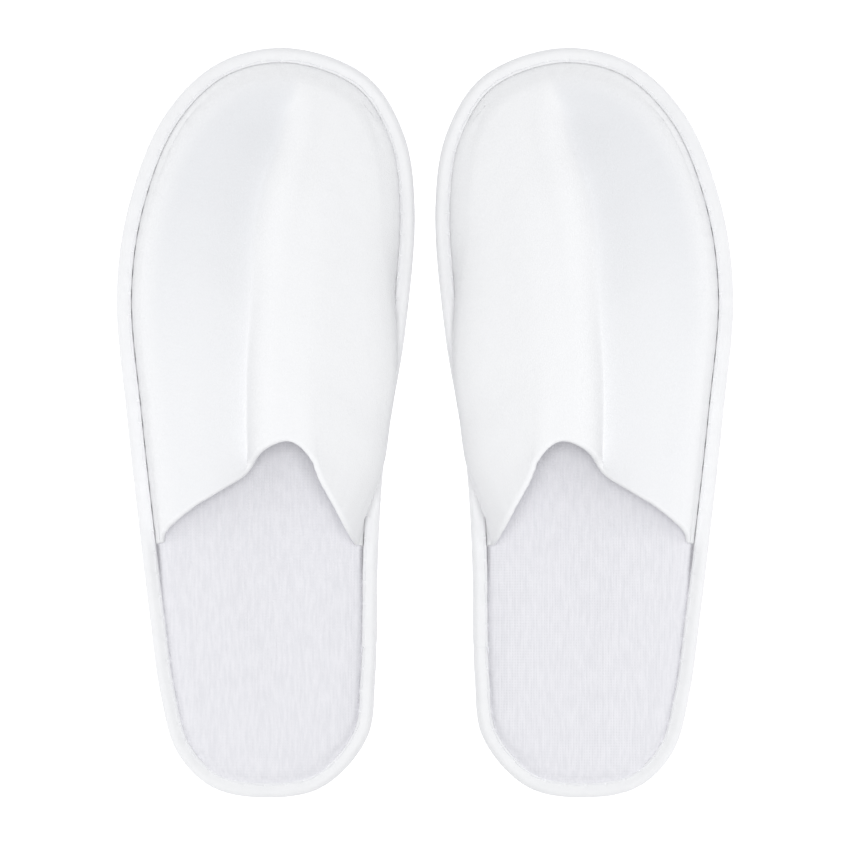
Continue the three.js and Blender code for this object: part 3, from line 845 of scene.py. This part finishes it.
def build_stitches(side):
    """The lockstitch: at each hole the needle's thread dives in and the bobbin's comes up."""
    phases = np.array([0, 0.02, 0.05, 0.1, 0.2, 0.35, 0.5, 0.65, 0.8, 0.9, 0.95, 0.98])
    rise = np.array([-0.9, -0.5, 0.05, 0.16, 0.2, 0.22, 0.22, 0.22, 0.2, 0.16, 0.05, -0.5])
    fractions = along_stitches(range(STITCHES), phases)
    rise = np.tile(rise, STITCHES)
    lean = np.repeat(rng.choice([-1, 1], STITCHES), len(phases))
    inset = STITCH_INSET + 0.12 * np.sin(2 * math.pi * np.tile(phases, STITCHES)) * lean
    xy = outline.place(fractions, inset)
    heights = {
        "needle_thread": tape_surface(fractions, inset) + rise,
        "bobbin_thread": TAPE_BOTTOM - THREAD_RADIUS - 0.05 - 0.9 * np.minimum(rise, 0),
    }
    for name, height in heights.items():
        mesh = tube(with_height(xy, height), THREAD_RADIUS, THREAD_SIDES, closed=True)
        make_piece(side, name, "thread", *mesh)


# ------------------------------------------------------------------ sole, pad and insole cloth


def column_limits(edge, x):
    """The lowest and highest y of a closed outline at each x."""
    a, b = edge, np.roll(edge, -1, 0)
    limits = []
    for value in x:
        hit = (a[:, 0] - value) * (b[:, 0] - value) <= 0
        share = (value - a[hit, 0]) / np.where(b[hit, 0] == a[hit, 0], 1, b[hit, 0] - a[hit, 0])
        y = mix(a[hit, 1], b[hit, 1], share)
        limits.append((y.min(), y.max()))
    return np.array(limits)


def cloth_grid():
    """Columns of points along y that fill the insole, some to each rib of its cloth."""
    fractions = np.linspace(0, 1, OUTLINE_POINTS, endpoint=False)
    edge = outline.place(fractions, np.full(OUTLINE_POINTS, COVER_INSET))
    low_x, high_x = edge[:, 0].min() + 0.05, edge[:, 0].max() - 0.05
    x = np.linspace(low_x, high_x, int((high_x - low_x) / (RIB_PITCH / POINTS_ACROSS_RIB)))
    limits = column_limits(edge, x)
    y = mix(limits[:, :1], limits[:, 1:], np.linspace(0, 1, POINTS_ALONG_RIB)[None, :])
    return np.stack([np.repeat(x[:, None], POINTS_ALONG_RIB, 1), y], -1)


def insole_surface():
    """The cloth's smooth height over its pad, which is squeezed flat under the tape, pulled in at
    the needle holes, and then rises to its full height in a rounded edge."""
    grid = cloth_grid()
    xy = grid.reshape(-1, 2)
    insets, near = insets_of(xy)
    swell = 0.45 * smooth(insets, 5, 8) + 0.35 * smooth(insets, 5.5, 13) + 0.2 * smooth(insets, 9, 24)
    pull = 0.3 * bump_at(hole_distance(near), 0, 1.8) * bump_at(insets, 6.6, 1.6)
    ditch = DITCH * bump_at(insets, DITCH_INSET, DITCH_WIDTH)
    waves = uneven(xy, PAD_UNEVEN) * smooth(insets, 8, 22)
    heights = COVER_RIM + (COVER_TOP - COVER_RIM) * swell - pull - ditch + waves
    quads = grid_quads(*grid.shape[:2])[:, ::-1]
    return SimpleNamespace(xy=xy, insets=insets, heights=heights, quads=quads)


def build_cover(side, insole):
    """The ribbed cloth: a rib along each column, thick and thin by turns, and flat at the seam."""
    slub = np.clip(0.75 + 0.35 * ripples(insole.xy * (1, 0.25), 2.4, 10), 0.2, 1.15)
    ribs = np.cos(2 * math.pi * insole.xy[:, 0] / RIB_PITCH)
    lift = RIB_HEIGHT * ribs * slub * smooth(insole.insets, 5, 7)
    top = with_height(insole.xy, insole.heights + lift)
    thickness = COVER * mix(0.6, 1, smooth(insole.insets, 5, 9))
    cover = make_piece(side, "insole_cover", "ribbed_cloth", *shell(top, insole.quads, -thickness, 0))


def slab(side, name, slot, steps):
    """A layer whose wall passes through [inset, height] steps, with a flat bottom and top."""
    fractions = np.linspace(0, 1, SLAB_POINTS, endpoint=False)
    rings = [with_height(outline.place(fractions, np.full(SLAB_POINTS, d)), z) for d, z in steps]
    faces = grid_quads(len(steps), SLAB_POINTS, False, True).tolist()
    faces += end_caps(0, (len(steps) - 1) * SLAB_POINTS, SLAB_POINTS)
    return make_piece(side, name, slot, np.vstack(rings), faces)


def groove_blocks(middle, count, length):
    """One long block with a rounded floor for each groove of a tread: points and faces."""
    section = [(-w, z) for w, z in GROOVE] + [(w, z) for w, z in GROOVE[::-1]]
    size = len(section)
    half, taper = length / 2, 0.7
    steps = [(-half, 0.6), (taper - half, 1), (half - taper, 1), (half, 0.6)]  # [x, share of the width]
    points, faces = [], []
    for k in range(count):
        y = middle + (k - (count - 1) / 2) * GROOVE_PITCH
        first = len(points)
        points += [(x, y + w * share, z) for x, share in steps for w, z in section]
        faces += grid_quads(len(steps), size, False, True, first).tolist()
        faces += end_caps(first, first + (len(steps) - 1) * size, size)
    return np.array(points), faces


def cut_tread(sole, side):
    """Cuts the grooves of the ball and the heel into the sole."""
    ball, ball_faces = groove_blocks(**BALL_TREAD)
    heel, heel_faces = groove_blocks(**HEEL_TREAD)
    points = np.vstack([ball, heel]) + ((CENTRE if side == "left" else -CENTRE), 0, 0)
    faces = ball_faces + [[len(ball) + i for i in f] for f in heel_faces]
    mesh = bpy.data.meshes.new("grooves")
    mesh.from_pydata((points * MM).tolist(), [], faces)
    cutter = bpy.data.objects.new("grooves", mesh)
    bpy.context.scene.collection.objects.link(cutter)
    cut = sole.modifiers.new("tread", "BOOLEAN")
    cut.operation = "DIFFERENCE"
    cut.solver = "EXACT"
    cut.object = cutter
    bpy.context.view_layer.update()
    done = sole.evaluated_get(bpy.context.evaluated_depsgraph_get())
    treaded = bpy.data.meshes.new_from_object(done)
    treaded.set_sharp_from_angle(angle=math.radians(35))
    sole.modifiers.clear()
    sole.data = treaded
    bpy.data.objects.remove(cutter)


def build_pad(side):
    rim = COVER_RIM - COVER
    foam = slab(side, "insole_foam", "sponge", [
        (LAYER_INSET, SOLE_TOP + GAP), (LAYER_INSET, rim - 0.1), (1.6, rim), (4.8, rim),
        (DITCH_INSET, rim - DITCH), (8, rim + 0.7), (11, rim + 1.1), (16, rim + 1.5), (22, rim + 1.9),
    ])


def build_outsole(side):
    """The sole stands on its middle, and its edge is raised over the tape's turned-under part."""
    recess, chamfer = 1.9, 0.3
    sole = slab(side, "outsole", "white_eva", [
        (9.4, 0), (8.7, 0.15), (8.3, 0.6), (8.2, recess),
        (LAYER_INSET + chamfer, recess), (LAYER_INSET, recess + chamfer),
        (LAYER_INSET, SOLE_TOP - chamfer), (LAYER_INSET + chamfer, SOLE_TOP),
    ])
    cut_tread(sole, side)


# ------------------------------------------------------------------ floor, light and camera


def make_stage():
    """A white floor that glows a little, so that it stays white round the slippers."""
    far = 3
    mesh = bpy.data.meshes.new("floor")
    mesh.from_pydata([(-far, -far, 0), (far, -far, 0), (far, far, 0), (-far, far, 0)], [], [(0, 1, 2, 3)])
    look = Look("floor", (0.95, 0.95, 0.955), 0.9)
    look.shader.inputs["Emission Color"].default_value = (1, 1, 1, 1)
    look.shader.inputs["Emission Strength"].default_value = 0.45
    mesh.materials.append(look.material)
    floor = bpy.data.objects.new("floor", mesh)
    bpy.context.scene.collection.objects.link(floor)


def add_light(name, place, size, power, only_on=None):
    """A square lamp that points at the origin."""
    light = bpy.data.lights.new(name, "AREA")
    light.shape, light.size, light.energy = "SQUARE", size, power
    lamp = bpy.data.objects.new(name, light)
    lamp.location = place
    lamp.rotation_euler = (-Vector(place)).to_track_quat("-Z", "Y").to_euler()
    bpy.context.scene.collection.objects.link(lamp)
    if only_on:
        lit = bpy.data.collections.new(f"{name}_lit")
        for piece in only_on:
            lit.objects.link(piece)
        lamp.light_linking.receiver_collection = lit


def make_lights():
    """A pale room, a soft light overhead, and a low light at the outer side of each slipper that
    falls on that slipper alone, so that the pair is lit as mirror images."""
    world = bpy.data.worlds.new("studio")
    world.use_nodes = True
    background = world.node_tree.nodes["Background"]
    background.inputs["Color"].default_value = (0.97, 0.98, 1, 1)
    background.inputs["Strength"].default_value = 0.48
    bpy.context.scene.world = world
    add_light("overhead", (0, -0.05, 1.9), 0.8, 20)
    for side, x in (("left", -1.4), ("right", 1.4)):
        pieces = [o for o in bpy.data.objects if o.type == "MESH" and o.name.startswith(side)]
        add_light(f"{side}_side", (x, -0.15, 0.75), 1, 3.8, pieces)


def make_camera():
    """Straight above the pair, with the toes at the top of the picture."""
    distance = 3.0  # above the insoles, in metres
    covered = 0.3287  # metres across the picture
    aim_y = -0.0008  # the picture's centre
    data = bpy.data.cameras.new("camera")
    data.sensor_width = 36
    data.lens = data.sensor_width * distance / covered
    camera = bpy.data.objects.new("camera", data)
    camera.location = (0, aim_y, distance + COVER_TOP * MM)
    bpy.context.scene.collection.objects.link(camera)
    bpy.context.scene.camera = camera
    bpy.context.scene.view_settings.view_transform = "Standard"


# ------------------------------------------------------------------ the pair

upper = detailed_upper()
insole = insole_surface()
for side in ("left", "right"):
    build_pad(side)
    build_outsole(side)
    build_cover(side, insole)
    build_upper(side, upper)
    build_mouth_seam(side, upper)
    build_binding(side)
    build_stitches(side)
make_stage()
make_lights()
make_camera()
